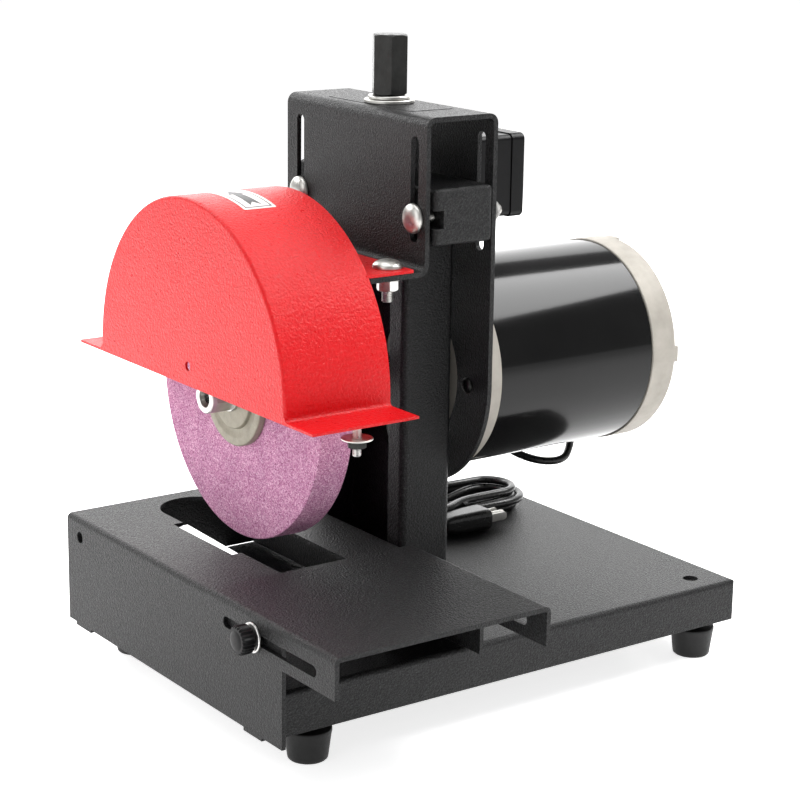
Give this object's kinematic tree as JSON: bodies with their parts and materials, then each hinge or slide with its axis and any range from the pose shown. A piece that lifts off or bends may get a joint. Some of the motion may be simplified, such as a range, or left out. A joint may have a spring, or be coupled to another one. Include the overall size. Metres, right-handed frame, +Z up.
{
  "type": "blade grinder",
  "caption": "Single-wheel bench grinder with a red guard, a direct-drive motor on a height-adjusted head, a sliding work table and a raised bed on a rubber-footed tray.",
  "frame": {"origin": "centre of the footprint at floor level, without the mains lead", "axes": "+X from the wheel to the motor, -Y is the front where the work table stands out, +Z up"},
  "size_m": [0.4238, 0.3886, 0.4516],
  "materials": {
    "black_powder_coat": "textured semi-gloss powder coat",
    "red_powder_coat": "wrinkle-texture powder coat",
    "abrasive": "open-grained vitrified abrasive, matt",
    "olive_flange": "turned, olive chromate, satin",
    "zinc": "bright zinc plating",
    "machined_steel": "ground steel",
    "black_oxide": "black oxide, satin",
    "gloss_black": "gloss enamel",
    "cast_alloy": "as cast, fine grain, matt",
    "enamelled_copper": "enamelled winding",
    "capacitor_can": "drawn can, satin",
    "black_plastic": "moulded, fine texture",
    "rubber": "moulded, satin",
    "cord_pvc": "extruded PVC, semi-gloss"
  },
  "bodies": {
    "base": {"base_tray": "black_powder_coat", "bed_channel": "black_powder_coat", "column": "black_powder_coat", "crossbar": "black_powder_coat", "guide_bolt_front": "zinc", "guide_bolt_back": "zinc", "guide_nut_front": "zinc", "guide_nut_back": "zinc", "knob_washer": "zinc", "table_guide_screw": "zinc", "lead_gland": "rubber", "cord_lead": "cord_pvc", "cord_hank": "cord_pvc", "cord_tail": "cord_pvc", "mains_plug": "cord_pvc", "foot_front_left": "rubber", "foot_front_right": "rubber", "foot_back_left": "rubber", "foot_back_right": "rubber", "foot_screw_front_left": "zinc", "foot_screw_front_right": "zinc", "foot_screw_back_left": "zinc", "foot_screw_back_right": "zinc"},
    "table": {"slide_table": "black_powder_coat"},
    "knob": {"table_knob": "black_plastic"},
    "head": {"head_bracket": "black_powder_coat", "guard": "red_powder_coat", "guard_bolt_front": "zinc", "guard_bolt_back": "zinc", "guard_nut_front": "zinc", "guard_nut_back": "zinc", "deflector_stud": "zinc", "deflector_washer": "zinc", "deflector_nut": "zinc", "motor_shell": "gloss_black", "front_bell": "cast_alloy", "rear_bell": "cast_alloy", "stator": "machined_steel", "stator_windings": "enamelled_copper", "front_bearing": "machined_steel", "rear_bearing": "machined_steel", "motor_screw_1": "black_oxide", "motor_screw_2": "black_oxide", "motor_screw_3": "black_oxide", "motor_screw_4": "black_oxide", "switch_box": "black_plastic", "switch_cover": "black_plastic", "capacitor": "capacitor_can", "motor_cable": "cord_pvc", "lift_washer_large": "zinc", "lift_washer_small": "zinc"},
    "lift": {"lift_screw": "black_oxide"},
    "spindle": {"motor_shaft": "machined_steel", "rotor": "machined_steel", "cooling_fan": "black_plastic", "inner_flange": "olive_flange", "outer_flange": "olive_flange", "grinding_wheel": "abrasive", "spindle_nut": "zinc"},
    "rocker": {"switch_rocker": "black_plastic"}
  },
  "joints": [
    {"name": "table_slide", "type": "slide", "parent": "base", "child": "table", "axis": [0, 1, 0], "range_m": [-0.032, 0.004]},
    {"name": "knob_turn", "type": "hinge", "parent": "base", "child": "knob", "pos_m": [-0.20465, -0.1023, 0.0955], "axis": [1, 0, 0], "range_deg": [0, 360]},
    {"name": "head_lift", "type": "slide", "parent": "base", "child": "head", "axis": [0, 0, 1], "range_m": [-0.035, 0.008]},
    {"name": "lift_screw_turn", "type": "hinge", "parent": "head", "child": "lift", "pos_m": [-0.00565, 0.0287, 0.408], "axis": [0, 0, 1], "range_deg": [-4260, 1020]},
    {"name": "spindle_spin", "type": "hinge", "parent": "head", "child": "spindle", "pos_m": [-0.11065, 0.0357, 0.2135], "axis": [1, 0, 0], "continuous": true},
    {"name": "switch_rock", "type": "hinge", "parent": "head", "child": "rocker", "pos_m": [0.06585, 0.0027, 0.35675], "axis": [0, 1, 0], "range_deg": [-9, 9]}
  ],
  "couplings": [
    {"joint": "lift_screw_turn", "follows": "head_lift", "rad_per_m": 2094.4}
  ]
}
